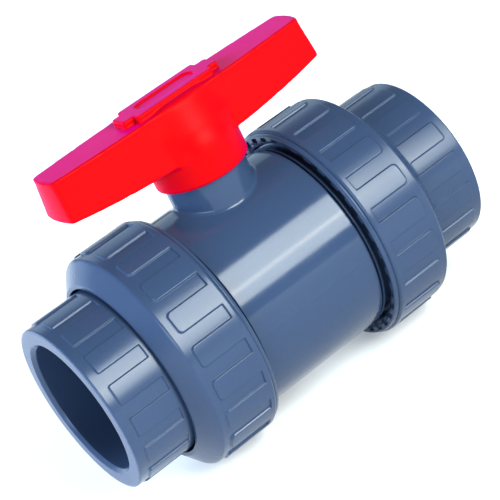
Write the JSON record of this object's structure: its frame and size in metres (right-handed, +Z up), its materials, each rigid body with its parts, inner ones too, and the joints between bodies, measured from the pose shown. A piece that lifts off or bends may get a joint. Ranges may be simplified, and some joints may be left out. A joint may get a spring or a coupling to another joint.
{
  "type": "ball valve",
  "caption": "Plastic union ball valve: plain pipe sockets on two screwed unions, a quarter-turn ball and a red lever handle above the neck.",
  "frame": {"origin": "crossing of the pipe axis and the stem axis, at the centre of the ball", "axes": "+X along the pipe towards the side with the seat carrier, +Z up the stem to the handle, +Y across"},
  "size_m": [0.2, 0.1084, 0.1514],
  "materials": {
    "casing_pvc": "moulded blue-grey PVC-U, satin",
    "connector_pvc": "moulded blue-grey PVC-U, satin",
    "nut_pvc": "moulded blue-grey PVC-U, satin",
    "ball_pvc": "polished grey PVC-U",
    "stem_pvc": "machined grey PVC-U",
    "handle_red": "moulded red ABS, gloss",
    "seat_ptfe": "turned white PTFE",
    "seal_rubber": "black EPDM",
    "bush_pom": "natural acetal"
  },
  "bodies": {
    "casing": {"valve_body": "casing_pvc", "seat_left": "seat_ptfe", "seat_right": "seat_ptfe", "seat_seal_left": "seal_rubber", "seat_seal_right": "seal_rubber", "face_seal_left": "seal_rubber", "face_seal_right": "seal_rubber", "seat_carrier": "casing_pvc", "carrier_seal": "seal_rubber", "stem_bush": "bush_pom"},
    "stem": {"stem": "stem_pvc", "ball": "ball_pvc", "stem_seal_lower": "seal_rubber", "stem_seal_upper": "seal_rubber", "thrust_ring": "seat_ptfe"},
    "handle": {"handle": "handle_red"},
    "connector_left": {"end_connector_left": "connector_pvc"},
    "nut_left": {"union_nut_left": "nut_pvc"},
    "connector_right": {"end_connector_right": "connector_pvc"},
    "nut_right": {"union_nut_right": "nut_pvc"}
  },
  "joints": [
    {"name": "stem_turn", "type": "hinge", "parent": "casing", "child": "stem", "pos_m": [0, 0, 0], "axis": [0, 0, -1], "range_deg": [0, 90]},
    {"name": "handle_lift", "type": "slide", "parent": "stem", "child": "handle", "axis": [0, 0, 1], "range_m": [0, 0.03]},
    {"name": "connector_left_draw", "type": "slide", "parent": "casing", "child": "connector_left", "axis": [-1, 0, 0], "range_m": [0, 0.0241]},
    {"name": "nut_left_unscrew", "type": "hinge", "parent": "connector_left", "child": "nut_left", "pos_m": [0, 0, 0], "axis": [-1, 0, 0], "range_deg": [0, 1440]},
    {"name": "connector_right_draw", "type": "slide", "parent": "casing", "child": "connector_right", "axis": [1, 0, 0], "range_m": [0, 0.0241]},
    {"name": "nut_right_unscrew", "type": "hinge", "parent": "connector_right", "child": "nut_right", "pos_m": [0, 0, 0], "axis": [1, 0, 0], "range_deg": [0, 1440]}
  ],
  "couplings": [
    {"joint": "connector_left_draw", "follows": "nut_left_unscrew", "m_per_rad": 0.00095493},
    {"joint": "connector_right_draw", "follows": "nut_right_unscrew", "m_per_rad": 0.00095493}
  ]
}
